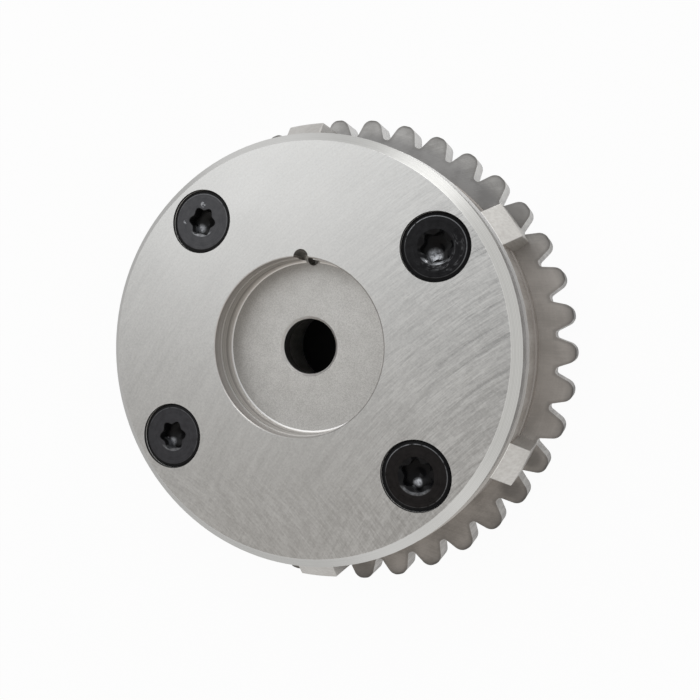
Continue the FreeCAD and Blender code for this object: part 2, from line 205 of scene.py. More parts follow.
coverFinish = {
    "bright": (0.76, 0.76, 0.745),
    "dull": (0.54, 0.54, 0.53),
    "rim": (0.48, 0.48, 0.465),
    "rimLight": (0.62, 0.62, 0.61),
    # painted shade towards the left of the chamfer, and duller clouds anywhere
    "rimDull": (0.42, 0.42, 0.41),
    # painted highlight on the chamfer
    "rimPolish": (0.82, 0.82, 0.81),
    # painted shade on the cover's side below the chamfer
    "side": (0.21, 0.20, 0.195),
    # painted shade in the notch
    "notch": (0.20, 0.192, 0.185),
    "upperWall": (0.52, 0.490, 0.470),
    "lowerWall": (0.62, 0.59, 0.56),
    "band": (0.34, 0.315, 0.30),
    # painted highlights at the step and the notch's foot, and the lighter turned lines in the wall
    "edge": (0.80, 0.80, 0.78),
    # painted highlight at the wall's foot and on the burr
    "foot": (0.98, 0.97, 0.95),
    "roughness": 0.38,
    "rimRoughness": 0.34,
    "relief": 0.008,
    "wheel": (95.0, -80.0),  # centre of the circles that the scratches follow
    "crossWheel": (-60.0, -100.0),
    "fine": (4.5, 0.40, 3.0),  # scale across the scratches and along them, and detail
    "long": (2.0, 0.10, 2.0),
    "broad": (0.8, 0.10, 2.0),
    "stroke": (1.1, 0.035, 1.0),
    "cross": (3.0, 0.35, 3.0),
    "shares": ((0.30, 0.95), (0.20, 0.75), (0.25, 0.35), (-0.04, -0.18)),  # anywhere, and more if worn
    "crossShares": (0.9, 0.35),  # at the lower edge, and where worn
    "wornSide": (2.0, 36.0),  # x from which the wear sets in, and where it is full
    "lowerEdge": (-20.0, -34.0),  # the same in y for the crossing scratches
    "dullSide": (-12.0, -40.0),
    "dullShares": (0.5, 0.2),  # at that side, and in clouds anywhere
    "grain": (2.4, 0.75),  # scale and share
    "cloudScale": 0.06,
    "turned": (9.0, 9.0, 0.0),  # scale outwards and upwards
    "bands": (1.9, 0.3, 0.2),  # scale upwards, a fixed place in the noise, and scale outwards
    "bandShare": 0.75,
    "lineShares": (0.2, 0.55),
    "stepShare": 0.7,
    "polished": ((-0.87, 0.55), (1.85, 0.5)),  # direction on the rim and spread, in radians
    "polishShare": 0.45,
    "sideShare": 0.74,
    "boreRadius": 18.2,
    "notchReach": 20.5,
    "notchFoot": (5.5, 1.5),  # heights over the cover's foot between which it brightens
    "stepDepth": 3.0,
    "chamfer": 1.9,
    "footBevel": 0.15,
    "burr": (-1.2, 17.8),
    "burrReach": 1.5,
    "burrFoot": (2.6, 1.2),
}


def groundMarks(place, values):
    # Scratches about the wheel's centre and darker strokes, stronger at the worn right side, with
    # scratches that cross them at the lower edge.
    x, y, z = place.parts()
    worn = x.step(*values["wornSide"])
    low = y.step(*values["lowerEdge"])
    fine, long, broad, strokes = (scratches(place, values["wheel"], *values[name])
                                  for name in ("fine", "long", "broad", "stroke"))
    fine = fine * (0.6 + broad.step(-0.15, 0.15) * 0.6)  # more of them in some bands
    strokes = strokes.step(0.06, 0.22)
    lowShare, wornShare = values["crossShares"]
    marks = scratches(place, values["crossWheel"], *values["cross"]) * (low * lowShare + worn * wornShare)
    for kind, (anywhere, more) in zip((fine, long, broad, strokes), values["shares"]):
        marks = marks + kind * (anywhere + worn * more)
    scale, share = values["grain"]
    return marks + (place.noise(scale, 3.0, 0.7) - 0.5) * share


def coverRim(place, turned, cloud, values):
    # Chamfer with painted shade towards its left side and duller clouds, two painted highlights, painted
    # shade on the side below, and the notch in painted shade with a painted highlight at its foot.
    radius, arc, z = around(place)
    x = place.parts()[0]
    rim = turned.step(0.3, 0.7).tint(values["rim"], values["rimLight"])
    # Painted shade: the chamfer darker towards the left side, with duller clouds anywhere.
    dullShare, cloudShare = values["dullShares"]
    dull = x.step(*values["dullSide"]) * dullShare + cloud.step(0.0, 0.3) * cloudShare
    rim = dull.tint(rim, values["rimDull"])
    # Painted highlights: two places round the chamfer brightened by their direction.
    for direction, spread in values["polished"]:
        polish = abs(arc / radius - direction).step(spread, spread * 0.3) * values["polishShare"]
        rim = polish.tint(rim, values["rimPolish"])
    # Painted shade: the cover's side below the chamfer darkened.
    chamferFoot = coverTop - values["chamfer"]
    below = z.step(chamferFoot - 0.04, chamferFoot - 0.12)
    rim = (below * values["sideShare"]).tint(rim, values["side"])
    # Painted shade in the notch, with a painted highlight towards its foot.
    inNotch = radius.step(values["boreRadius"], values["boreRadius"] + 0.1)
    inNotch = inNotch * radius.step(values["notchReach"], values["notchReach"] - 0.5)
    high, low = values["notchFoot"]
    atFoot = z.step(coverFoot + high, coverFoot + low)
    return inNotch.tint(rim, atFoot.tint(values["notch"], values["edge"]))


def recessWall(place, turned, values):
    # Wall of the central hole in two tones, with turned bands and lines, and painted highlights at the
    # step and at the foot.
    radius, arc, z = around(place)
    stepHeight = coverTop - values["stepDepth"]
    wall = z.step(stepHeight + 0.05, stepHeight - 0.1).tint(values["upperWall"], values["lowerWall"])
    bands = place.stretched((z, 1.0, radius), values["bands"]).noise(1.0, 3.0, 0.7)
    wall = (bands.step(0.50, 0.36) * values["bandShare"]).tint(wall, values["band"])
    fineShare, broadShare = values["lineShares"]
    lines = turned.step(0.45, 0.70) * fineShare + bands.step(0.54, 0.66) * broadShare
    # Painted highlight: a bright line at the step.
    atStep = abs(z - stepHeight).step(0.16, 0.06) * values["stepShare"]
    wall = (atStep + lines).tint(wall, values["edge"])
    # Painted highlight: the foot of the wall near white.
    bevelTop = coverFoot + values["footBevel"]
    return z.step(bevelTop, bevelTop - 0.05).tint(wall, values["foot"])


def groundSteel(values):
    material, shader, place = openFinish("groundSteel", {"Metallic": 1.0})
    radius, arc, z = around(place)
    marks = groundMarks(place, values)
    cloud = place.noise(values["cloudScale"], 2.0) - 0.5
    turned = place.stretched((radius, z, 0.0), values["turned"]).noise(1.0, 2.0)
    onFace = z.step(coverTop - 0.12, coverTop - 0.04)
    offFace = 1.0 - onFace
    inBore = radius.step(values["boreRadius"] + 0.1, values["boreRadius"]) * offFace
    ground = (marks + 0.5).step(0.05, 0.95).tint(values["dull"], values["bright"])
    colour = onFace.tint(coverRim(place, turned, cloud, values), ground)
    colour = inBore.tint(colour, recessWall(place, turned, values))
    # A burr beside the notch, drawn as a near-white painted highlight.
    reach = values["burrReach"]
    high, low = values["burrFoot"]
    burr = around(place, values["burr"])[0].step(reach, reach * 0.6)
    burr = burr * z.step(coverFoot + high, coverFoot + low) * place.noise(1.6, 2.0).step(0.36, 0.46)
    colour = burr.tint(colour, values["foot"])
    rough = (values["roughness"] + marks * 0.25 + cloud * 0.08) * onFace
    rough = rough + (values["rimRoughness"] + inBore * 0.06) * offFace
    return closeFinish(material, shader, colour, rough, marks * onFace + turned * 0.4 * offFace,
                       values["relief"])


# Sintered housing: bright sized lugs, the ledge painted near white as a highlight, browner side wall

housingFinish = {
    "light": (0.67, 0.66, 0.64),
    "dark": (0.53, 0.515, 0.495),
    "sideLight": (0.55, 0.518, 0.485),
    "sideDark": (0.44, 0.407, 0.375),
    "lipEdge": (0.27, 0.25, 0.235),
    # painted highlight on the top ledge
    "ledge": (0.97, 0.96, 0.94),
    "roughness": 0.38,
    "relief": 0.010,
    "lipReach": 0.75,  # past the cover's rim
    "lipHeight": 12.28,
    "ledgeDepth": 0.34,
    "grainScale": 3.5,
    "cloudScale": 0.12,
    "drawn": (2.2, 2.2, 0.15),  # scale round, outwards and upwards
}


def sinteredHousing(values):
    material, shader, place = openFinish("sinteredHousing", {"Metallic": 1.0})
    radius, arc, z = around(place)
    sideRadius = coverRadius + values["lipReach"]
    ledgeFoot = housingTop - values["ledgeDepth"]
    drawn = place.stretched((arc, radius, z), values["drawn"]).noise(1.0, 3.0)
    grain = place.noise(values["grainScale"], 3.0, 0.6)
    cloud = place.noise(values["cloudScale"], 2.0)
    shade = (drawn * 0.5 + cloud * 0.5).step(0.3, 0.7)
    side = radius.step(sideRadius + 0.10, sideRadius + 0.03) * z.step(ledgeFoot, ledgeFoot - 0.08)
    colour = side.tint(shade.tint(values["dark"], values["light"]),
                       shade.tint(values["sideDark"], values["sideLight"]))
    # Painted highlight: the top ledge near white, as a bright line.
    colour = z.step(housingTop - 0.10, housingTop - 0.04).tint(colour, values["ledge"])
    onLip = abs(z - values["lipHeight"]).step(0.20, 0.14)
    colour = (onLip * side).tint(colour, values["lipEdge"])
    rough = values["roughness"] + (grain - 0.5) * 0.2
    return closeFinish(material, shader, colour, rough, grain * 0.5 + drawn, values["relief"])


# Chain sprocket: dull faces with darker edges, brighter cut flanks, dark tips

sprocketFinish = {
    "faceLight": (0.54, 0.513, 0.486),
    "faceDark": (0.37, 0.349, 0.328),
    # painted shade on the upper teeth, darkest at the root by the housing, with a painted highlight on
    # their flanks
    "coolLight": (0.51, 0.502, 0.49),
    "coolDark": (0.345, 0.338, 0.328),
    "coolRoot": (0.20, 0.20, 0.205),
    "coolRoots": (49.0, 46.2),  # radii between which they darken
    "coolRootShare": 0.42,
    "coolTeeth": (16.0, 36.0),  # y from which they turn grey, and where they are
    "coolFlankShare": 0.7,
    # painted light on the right side
    "paleSide": (0.66, 0.625, 0.59),
    "paleAcross": (22.0, 44.0),
    "paleUp": (-32.0, -14.0),
    "paleShare": 0.32,
    "paleFlank": (0.90, 0.895, 0.885),
    "flankLight": (0.75, 0.74, 0.725),
    "flankDark": (0.52, 0.51, 0.495),
    "tip": (0.20, 0.195, 0.19),
    "rim": (0.19, 0.182, 0.174),
    "faceRoughness": 0.52,
    "flankRoughness": 0.34,
    "relief": 0.010,
    "turned": (3.0, 0.08, 1.0),  # scale outwards, round and upwards
    "radial": (0.25, 3.0, 1.0),
    "broached": (1.5, 1.5, 0.1),  # scale round, outwards and upwards
    "grainScale": 4.0,
    "cloudScale": 0.22,
    "frontMix": (0.14, 0.21, 0.65, 0.28),  # turned, radial, cloud and grain
    "rearMix": (0.6, 0.15, 0.25),  # turned, cloud and grain
    "edge": 0.06,
    "rearReach": (1.2, 0.8),
    # painted shade beside the lugs
    "stains": ((37.2, 29.0, 4.6), (39.5, -26.6, 2.8), (43.2, -20.0, 2.8), (9.4, -48.6, 3.4)),
    "stainShare": 0.6,
    "tipBand": 2.0,
    "tipEdge": 0.55,
    "teeth": 40,
    "firstTooth": 2.0,
    "toothWidth": 4.65,
    "toothHeight": 4.0,
    "flankAngle": 20.5,
    "tipRound": 1.2,
    "rimWidth": 0.75,
    "rimShares": (0.28, 0.6),  # anywhere, and more at the tip
}


def insideTeeth(radius, arc, values):
    # Way in from the sprocket's outline: the lesser of the ways to a tooth's flank and to its tip,
    # or the way to the root circle where that is the greater.
    pitch = 2.0 * math.pi / values["teeth"]
    slope = math.radians(values["flankAngle"])
    turns = arc / (radius * pitch) + (0.5 - values["firstTooth"] / 360.0 * values["teeth"])
    aside = abs(turns.maths("FRACT") - 0.5) * radius * pitch
    middle = toothTipRadius - values["toothHeight"] / 2.0
    half = (middle - radius) * math.tan(slope) + values["toothWidth"] / 2.0
    toFlank = (half - aside) * math.cos(slope)
    inTooth = toFlank.maths("SMOOTH_MIN", toothTipRadius - radius, values["tipRound"])
    return inTooth.most(toothTipRadius - values["toothHeight"] - radius)


def mixed(patterns, shares):
    # Light and dark from a sum of patterns, each times its share.
    return sum(pattern * share for pattern, share in zip(patterns, shares)).step(0.34, 0.66)


def sprocketSteel(values):
    material, shader, place = openFinish("sprocketSteel", {"Metallic": 1.0})
    radius, arc, z = around(place)
    x, y = place.parts()[:2]
    half = plateTop / 2.0
    onFace = abs(z - half).step(half - 2.0 * values["edge"], half - values["edge"])
    rear = z.step(*values["rearReach"])
    turned = place.stretched((radius, arc, z), values["turned"]).noise(1.0, 3.0)
    radial = place.stretched((radius, arc, z), values["radial"]).noise(1.0, 3.0)
    broached = place.stretched((arc, radius, z), values["broached"]).noise(1.0, 3.0)
    grain = place.noise(values["grainScale"], 3.0, 0.65)
    cloud = place.noise(values["cloudScale"], 3.0)
    front = mixed((turned, radial, cloud, grain - 0.5), values["frontMix"])
    shade = front + (mixed((turned, cloud, grain), values["rearMix"]) - front) * rear
    face = shade.tint(values["faceDark"], values["faceLight"])
    flank = broached.step(0.3, 0.7).tint(values["flankDark"], values["flankLight"])
    # Painted light: the right side paler, the upper teeth greyer and darker with painted shade at the
    # root by the housing, and their flanks paler as a painted highlight.
    pale = x.step(*values["paleAcross"]) * y.step(*values["paleUp"])
    face = (pale * values["paleShare"]).tint(face, values["paleSide"])
    cool = y.step(*values["coolTeeth"])
    face = cool.tint(face, shade.tint(values["coolDark"], values["coolLight"]))
    root = radius.step(*values["coolRoots"]) * cool
    face = (root * values["coolRootShare"]).tint(face, values["coolRoot"])
    flank = (cool * values["coolFlankShare"]).tint(flank, values["paleFlank"])
    # Painted shade beside the lugs, and a darker rim round each tooth, most of all at its tip.
    stains = spotted(place, (0.0, 0.0), values["stains"]) * values["stainShare"]
    face = stains.tint(face, values["rim"])
    atTip = radius.step(toothTipRadius - values["tipBand"], toothTipRadius - 0.2) * 0.5
    atTip = atTip.most(radius.step(toothTipRadius - values["tipEdge"], toothTipRadius - 0.1))
    anywhere, more = values["rimShares"]
    rim = insideTeeth(radius, arc, values).step(values["rimWidth"], 0.12) * (anywhere + atTip * more)
    face = rim.tint(face, values["rim"])
    # Painted light: the tips less dark on the upper teeth.
    atTip = atTip * (1.0 - cool * values["coolFlankShare"])
    colour = (atTip * (0.95 - onFace * 0.15)).tint(onFace.tint(flank, face), values["tip"])
    rough = values["flankRoughness"] * (1.0 - onFace) + values["faceRoughness"] * onFace
    rough = rough + (grain - 0.5) * 0.15 + atTip * 0.08
    height = grain * 0.6 + turned * onFace * 0.6 + broached * (1.0 - onFace)
    return closeFinish(material, shader, colour, rough, height, values["relief"])


# Sintered rotor: porous, with a painted highlight on the bolt bore's bevel, painted shade in the bore's
# mouth and painted shade in the corner at the upper left

rotorFinish = {
    "light": (0.80, 0.795, 0.775),
    "dark": (0.58, 0.575, 0.555),
    "pore": (0.34, 0.33, 0.315),
    # painted shade in the bolt bore
    "bore": (0.24, 0.235, 0.23),
    # painted highlight on the bolt bore's bevel
    "bevel": (0.98, 0.97, 0.95),
    "roughness": 0.5,
    "relief": 0.020,
    "boltBoreRadius": 5.7,
    "boltBoreBevel": 0.5,
    "boreFade": 2.2,
    "bevelShare": 0.85,
    "faceRadius": 17.5,
    # painted shade in the corner by the wall
    "residueWidth": 3.1,
    "residueSide": (2.0, -16.0),  # x less y from which it sets in, and where it is full
    "residueShare": 0.32,
    "grainScale": 4.0,
    "poreScale": 9.0,
    "poreShare": 0.5,
    "cloudScale": 0.25,
}


def sinteredRotor(values):
    material, shader, place = openFinish("sinteredRotor", {"Metallic": 1.0})
    radius, arc, z = around(place)
    x, y = place.parts()[:2]
    grain = place.noise(values["grainScale"], 4.0, 0.75)
    pores = place.noise(values["poreScale"], 2.0, 0.8).step(0.60, 0.72)
    cloud = place.noise(values["cloudScale"], 3.0)
    mottled = (grain * 0.8 + cloud * 0.2).step(0.34, 0.66)
    body = mottled.tint(values["dark"], values["light"])
    body = (pores * values["poreShare"]).tint(body, values["pore"])
    # Painted shade in the corner by the wall, towards the upper left.
    residueEdge = values["faceRadius"] - 0.1
    residue = radius.step(residueEdge - values["residueWidth"], residueEdge)
    residue = residue * (x - y).step(*values["residueSide"]) * values["residueShare"]
    body = residue.tint(body, values["pore"])
    boreRadius = values["boltBoreRadius"]
    bevelRadius = boreRadius + values["boltBoreBevel"]
    # Painted shade in the bolt bore's mouth, and a painted highlight on its bevel.
    inBore = radius.step(boreRadius + values["boreFade"], boreRadius + 0.02)
    inBore = inBore * z.step(rotorTop - 0.4, rotorTop - 0.6)
    onBevel = radius.step(bevelRadius + 0.04, bevelRadius - 0.04)
    onBevel = onBevel * z.step(rotorTop - 0.6, rotorTop - 0.45)
    colour = (onBevel * values["bevelShare"]).tint(inBore.tint(body, values["bore"]), values["bevel"])
    rough = values["roughness"] + (grain - 0.5) * 0.2
    return closeFinish(material, shader, colour, rough, grain - pores * 0.8, values["relief"])


# Pins and springs of bright steel

hardenedFinish = {"light": (0.60, 0.60, 0.59), "dark": (0.44, 0.44, 0.44), "roughness": 0.22,
                  "scale": 2.5, "lines": (1.0, 1.0, 6.0), "cloudScale": 0.3, "relief": 0.006}
springFinish = {"light": (0.55, 0.54, 0.52), "dark": (0.36, 0.35, 0.34), "roughness": 0.3,
                "scale": 3.5, "lines": (1.0, 1.0, 6.0), "cloudScale": 0.3, "relief": 0.006}


def drawnSteel(name, values):
    material, shader, place = openFinish(name, {"Metallic": 1.0})
    radius, arc, z = around(place)
    lines = place.stretched((radius, arc, z), values["lines"]).noise(values["scale"], 3.0)
    cloud = place.noise(values["cloudScale"], 2.0)
    colour = (lines * 0.6 + cloud * 0.4).step(0.3, 0.7).tint(values["dark"], values["light"])
    rough = values["roughness"] + (lines - 0.5) * 0.15
    return closeFinish(material, shader, colour, rough, lines, values["relief"])


# Seals of filled plastic

sealFinish = {"light": (0.055, 0.05, 0.047), "dark": (0.022, 0.021, 0.022), "roughness": 0.5,
              "gloss": 0.4, "scale": 2.0, "fibres": (3.0, 3.0, 0.5), "relief": 0.012}


def sealPlastic(values):
    material, shader, place = openFinish("sealPlastic", {"Specular IOR Level": values["gloss"]})
    fibre = place.stretched(place.parts(), values["fibres"]).noise(values["scale"], 3.0, 0.7)
    colour = fibre.step(0.35, 0.7).tint(values["dark"], values["light"])
    rough = values["roughness"] + (fibre - 0.5) * 0.25
    return closeFinish(material, shader, colour, rough, fibre, values["relief"])


# Black countersunk screws: each has its own sheen and wear, and the left ones are painted lighter and the
# right ones darker as painted light. The lip's painted highlight has a radius and a share, and the deep
# painted highlights and the nicks each have their place from the screw's axis and their reach.

screwFinishes = [
    {"light": (0.016, 0.016, 0.018), "dark": (0.005, 0.005, 0.006), "roughness": 0.24, "gloss": 0.15,
     "edgeWear": 0.50, "lip": (3.2, 0.9), "deep": ((-0.5, -1.5, 1.9),), "nicks": (), "smear": 0.5},
    {"light": (0.080, 0.081, 0.088), "dark": (0.046, 0.047, 0.053), "roughness": 0.42, "gloss": 0.35,
     "edgeWear": 0.30, "lip": (2.95, 0.8), "deep": ((-1.5, -1.2, 1.3),),
     "nicks": ((-3.9, -0.1, 0.6), (0.1, 3.6, 0.8)), "smear": 0.0},
    {"light": (0.046, 0.046, 0.052), "dark": (0.027, 0.027, 0.031), "roughness": 0.45, "gloss": 0.3,
     "edgeWear": 0.15, "lip": (2.95, 0.45), "deep": ((-1.5, -1.7, 1.2), (-2.7, -1.4, 0.7)), "nicks": (),
     "smear": 0.0},
    {"light": (0.018, 0.016, 0.016), "dark": (0.008, 0.007, 0.007), "roughness": 0.30, "gloss": 0.15,
     "edgeWear": 0.45, "lip": (3.4, 0.4), "deep": ((-0.2, -1.7, 1.1),), "nicks": (), "smear": 0.0},
]
screwWear = {
    "steel": (0.40, 0.41, 0.43),
    "edge": 5.8,
    # painted shade: the head's bevel and the socket near black
    "bevel": (0.006, 0.006, 0.007),
    "socket": (0.006, 0.006, 0.007),
    "socketReach": 3.4,
    "deepFrom": (1.2, 2.0),  # depths between which the painted highlight in the socket sets in
    "lipBelow": (-1.9, -2.7),  # heights on the head between which the lip's painted highlight sets in
    "smearReach": 5.2,
    "turned": (6.0, 0.2, 3.0),  # scale outwards, round and upwards
    "folds": (1.7, 0.22, 1.0),
    "foldScale": 0.8,
    "cloudScale": 0.7,
    "chipScale": 1.6,
    "relief": 0.02,
}


def blackOxide(name, centre, top, values, wear):
    material, shader, place = openFinish(name, {"Specular IOR Level": values["gloss"]})
    radius, arc, z = around(place, centre)
    x, y = (part - middle for part, middle in zip(place.parts(), centre))
    turned = place.stretched((radius, arc, z), wear["turned"]).noise(1.0, 3.0)
    folds = place.stretched((radius, arc, z), wear["folds"]).noise(wear["foldScale"], 2.0)
    cloud = place.noise(wear["cloudScale"], 3.0, 0.6)
    chips = place.noise(wear["chipScale"], 3.0, 0.7)
    scuffed = chips.step(0.35, 0.60) * 0.5 + 0.5
    oxide = (turned * 0.4 + cloud * 0.6).step(0.3, 0.7).tint(values["dark"], values["light"])
    # Painted shade: the head's outer bevel and the inside of the socket near black.
    onBevel = radius.step(wear["edge"] + 0.02, wear["edge"] + 0.12)
    inside = radius.step(wear["socketReach"] + 0.05, wear["socketReach"]) * z.step(top - 0.02, top - 0.08)
    oxide = inside.tint(onBevel.tint(oxide, wear["bevel"]), wear["socket"])
    # Bare steel at the head's edge, worn and stronger towards the top as a painted highlight; painted
    # highlights deep in the socket and at the socket's lower lip; bare steel in nicks.
    bare = abs(radius - wear["edge"]).step(0.12, 0.04) * cloud.step(0.30, 0.50) * values["edgeWear"]
    bare = bare * ((x * 0.5 + y).step(-4.0, 1.0) * 0.8 + 0.25)
    shallow, deep = wear["deepFrom"]
    bare = bare.most(spotted(place, centre, values["deep"]) * scuffed * z.step(top - shallow, top - deep))
    bare = bare.most(spotted(place, centre, values["nicks"]) * chips.step(0.50, 0.56))
    lipRadius, lipShare = values["lip"]
    lip = abs(radius - lipRadius).step(0.35, 0.15) * y.step(*wear["lipBelow"]) * scuffed * lipShare
    # Folds in the oil film, at the lower right of the head, drawn as bright steel lines: painted
    # highlights.
    ridge = abs(folds - 0.5).step(0.035, 0.008) + abs(folds - 0.60).step(0.03, 0.005)
    reach = wear["smearReach"]
    smear = ridge * cloud.step(0.40, 0.55) * radius.step(reach + 0.4, reach - 0.4)
    smear = smear * (1.0 - inside) * (x - y).step(-1.0, 4.0) * values["smear"]
    bare = bare.most(lip).most(smear * 0.5)
    material.node_tree.links.new(bare.socket, shader.inputs["Metallic"])
    rough = values["roughness"] + (cloud - 0.5) * 0.2 + onBevel * 0.15
    return closeFinish(material, shader, bare.tint(oxide, wear["steel"]), rough,
                       cloud * 0.6 + turned * 0.3 + smear, wear["relief"])


def dress(node, material):
    mesh = frame["nodes"][node].data
    mesh.materials.clear()
    mesh.materials.append(material)


hardened = drawnSteel("hardenedSteel", hardenedFinish)
springSteel = drawnSteel("springSteel", springFinish)
seals = sealPlastic(sealFinish)
dress("front_cover", groundSteel(coverFinish))
dress("stator_housing", sinteredHousing(housingFinish))
dress("sprocket_plate", sprocketSteel(sprocketFinish))
dress("rotor", sinteredRotor(rotorFinish))
for nodeName in ("lock_pin", "lock_pin_cap", "lock_pin_seat"):
    dress(nodeName, hardened)
dress("lock_pin_spring", springSteel)
for number in range(1, 5):
    for holder in ("vane", "lobe"):
        dress(f"{holder}_seal_{number}", seals)
        dress(f"{holder}_seal_spring_{number}", springSteel)
print("finishes made")


# Screws with socket and thread, in place of the plain ones

screwForm = {
    "head": 6.5,
    "top": 5.8,
    "bevel": 0.35,
    "rim": 0.2,
    "rimRound": 0.02,
    "headRings": (4.2, 5.0, 5.6),
    "socketOuter": 3.05,
    "socketInner": 2.35,
    "socketDepth": 2.9,
    "floor": 1.7,
    "point": 0.85,
    "pointRadius": 1.0,
    "axisRadius": 0.001,
    "turns": (12.0, 54.0, 10.0, 40.0),
    "mouths": ((3.4, 0.5), (3.15, 0.12), (3.15, 0.12), (3.5, 0.6)),  # radius and depth of each lead-in
    "mouthWaves": (0.0, 0.9, 0.9, 0.0),  # share of the lobes left at each lead-in's top
    "thread": 2.95,
    "pitch": 1.0,
    "threadDepth": 0.6,
    "ringsPerTurn": 9.0,
    "unthreaded": 2.0,
    "threadEnd": 0.5,
    "tailBevel": 0.6,
    "tailCentre": 1.2,
    "columns": 72,
    "smooth": 32.0,  # degrees
}


def screwRows(values, tail, top, mouth, mouthDepth, mouthWave):
    # Radius, height and the shares of socket wave and of thread for each ring, from the socket's
    # bottom out over the head and down the shank to the tail.
    rows = []

    def ring(radius, height, wave=0.0, thread=0.0):
        rows.append((radius, height, wave, thread))

    middle = (values["socketOuter"] + values["socketInner"]) / 2.0
    swing = (values["socketOuter"] - values["socketInner"]) / 2.0
    floor = top - values["socketDepth"]
    ring(values["axisRadius"], floor - values["point"])
    ring(values["pointRadius"], floor - values["point"] * 0.4)
    ring(values["floor"], floor)
    ring(middle, floor + 0.02, 1.0)
    for height in np.linspace(floor + 0.1, top - mouthDepth, 6):
        ring(middle, height, 1.0)
    for share in np.linspace(0.25, 1.0, 4):
        ring(middle + (mouth - swing * mouthWave - middle) * share, top - mouthDepth * (1.0 - share),
             1.0 + (mouthWave - 1.0) * share)
    for radius in (mouth + 0.06, mouth + 0.3, *values["headRings"]):
        ring(radius, top)
    for share in (0.0, 0.15, 0.5, 0.85, 1.0):
        ring(values["top"] + (values["head"] - values["top"]) * share, top - values["bevel"] * share)
    rimFoot = top - values["bevel"] - values["rim"]
    coneTop = values["head"] - values["rimRound"]
    coneFoot = rimFoot - (values["head"] - values["thread"])
    ring(values["head"], rimFoot + values["rimRound"])
    ring(coneTop, rimFoot)
    for share in (0.25, 0.5, 0.75, 1.0):
        ring(coneTop + (values["thread"] - coneTop) * share, rimFoot + (coneFoot - rimFoot) * share)
    threadTop = coneFoot - values["unthreaded"]
    pitch = values["pitch"]
    for height in np.arange(threadTop, tail + values["threadEnd"], -pitch / values["ringsPerTurn"]):
        ring(values["thread"], height, 0.0, min(1.0, (threadTop - height) / pitch))
    ring(values["thread"] - 0.25, tail + 0.22, 0.0, 0.5)
    ring(values["thread"] - values["tailBevel"], tail)
    ring(values["tailCentre"], tail)
    ring(values["axisRadius"], tail)
    return np.array(rows)


def screwSurface(values, tail, top, which):
    # Rings about an upright axis. The ring's radius swings with the cosine of six times the angle
    # in the socket, and drops to the thread's root by its phase, height over pitch less the turn.
    mouth, mouthDepth = values["mouths"][which]
    rows = screwRows(values, tail, top, mouth, mouthDepth, values["mouthWaves"][which])
    radius, height, wave, thread = rows.T[:, :, None]
    angle = np.linspace(0.0, 2.0 * np.pi, values["columns"], endpoint=False)[None, :]
    swing = (values["socketOuter"] - values["socketInner"]) / 2.0
    lobed = swing * np.cos(6.0 * (angle - math.radians(values["turns"][which])))
    phase = (height / values["pitch"] - angle / (2.0 * np.pi)) % 1.0
    groove = np.clip(1.25 - np.abs(phase - 0.5) * 3.0, 0.0, 1.0)
    reach = radius + wave * lobed - thread * values["threadDepth"] * groove
    return np.stack([reach * np.cos(angle), reach * np.sin(angle), height + 0.0 * angle], axis=-1)


def closedTube(name, points):
    # A mesh from rings of points, joined round and closed at both ends by its end rings.
    rows, columns = points.shape[:2]
    index = np.arange(rows * columns).reshape(rows, columns)
    ahead = np.roll(index, -1, axis=1)
    quads = np.stack([index[:-1], index[1:], ahead[1:], ahead[:-1]], axis=-1).reshape(-1, 4)
    faces = quads.tolist() + [index[0].tolist(), index[-1][::-1].tolist()]
    mesh = bpy.data.meshes.new(name)
    mesh.from_pydata((points.reshape(-1, 3) * mm).tolist(), [], faces)
    mesh.update()
    piece = bpy.data.objects.new(name, mesh)
    bpy.context.scene.collection.objects.link(piece)
    return piece


def smoothByAngle(piece, degrees):
    # Smooth shading, with sharp edges where faces meet at more than the angle.
    mesh = piece.data
    mesh.shade_smooth()
    mesh.set_sharp_from_angle(angle=math.radians(degrees))


for number in range(1, 5):
    low, high = boxInMm(f"cover_screw_{number}")
    centre = ((low[0] + high[0]) / 2.0, (low[1] + high[1]) / 2.0)
    points = screwSurface(screwForm, low[2], high[2], number - 1)
    piece = closedTube(f"coverScrew{number}", points + np.array([*centre, 0.0]))
    smoothByAngle(piece, screwForm["smooth"])
    piece.data.materials.append(blackOxide(f"blackOxide{number}", centre, high[2],
                                           screwFinishes[number - 1], screwWear))
    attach(piece, "housing")
    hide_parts(f"cover_screw_{number}")
print("screws made")


# Lock pin's spring with closed end coils, in place of the plain one

springForm = {"wire": 0.35, "coil": 2.75, "turns": 5.5, "closed": 0.6, "rings": 34, "columns": 14,
              "smooth": 40.0}


def springSurface(values, low, high):
    # Rings on a helix: the height of the centre line rises with the turn, but not in the closed
    # turns at its ends. A ring goes round by the outward direction and the one square to the path.
    turn = np.linspace(0.0, values["turns"], int(values["turns"] * values["rings"]) + 1)
    rising = values["turns"] - 2.0 * values["closed"]
    rise = np.clip(turn - values["closed"], 0.0, rising) / rising
    angle = 2.0 * np.pi * turn
    height = low + values["wire"] + (high - low - 2.0 * values["wire"]) * rise
    outward = np.stack([np.cos(angle), np.sin(angle), 0.0 * angle], axis=-1)
    centre = outward * values["coil"] + np.stack([0.0 * angle, 0.0 * angle, height], axis=-1)
    path = np.gradient(centre, axis=0)
    path /= np.linalg.norm(path, axis=1)[:, None]
    square = np.cross(path, outward)
    about = np.linspace(0.0, 2.0 * np.pi, values["columns"], endpoint=False)[None, :, None]
    ring = np.cos(about) * outward[:, None, :] - np.sin(about) * square[:, None, :]
    return centre[:, None, :] + values["wire"] * ring


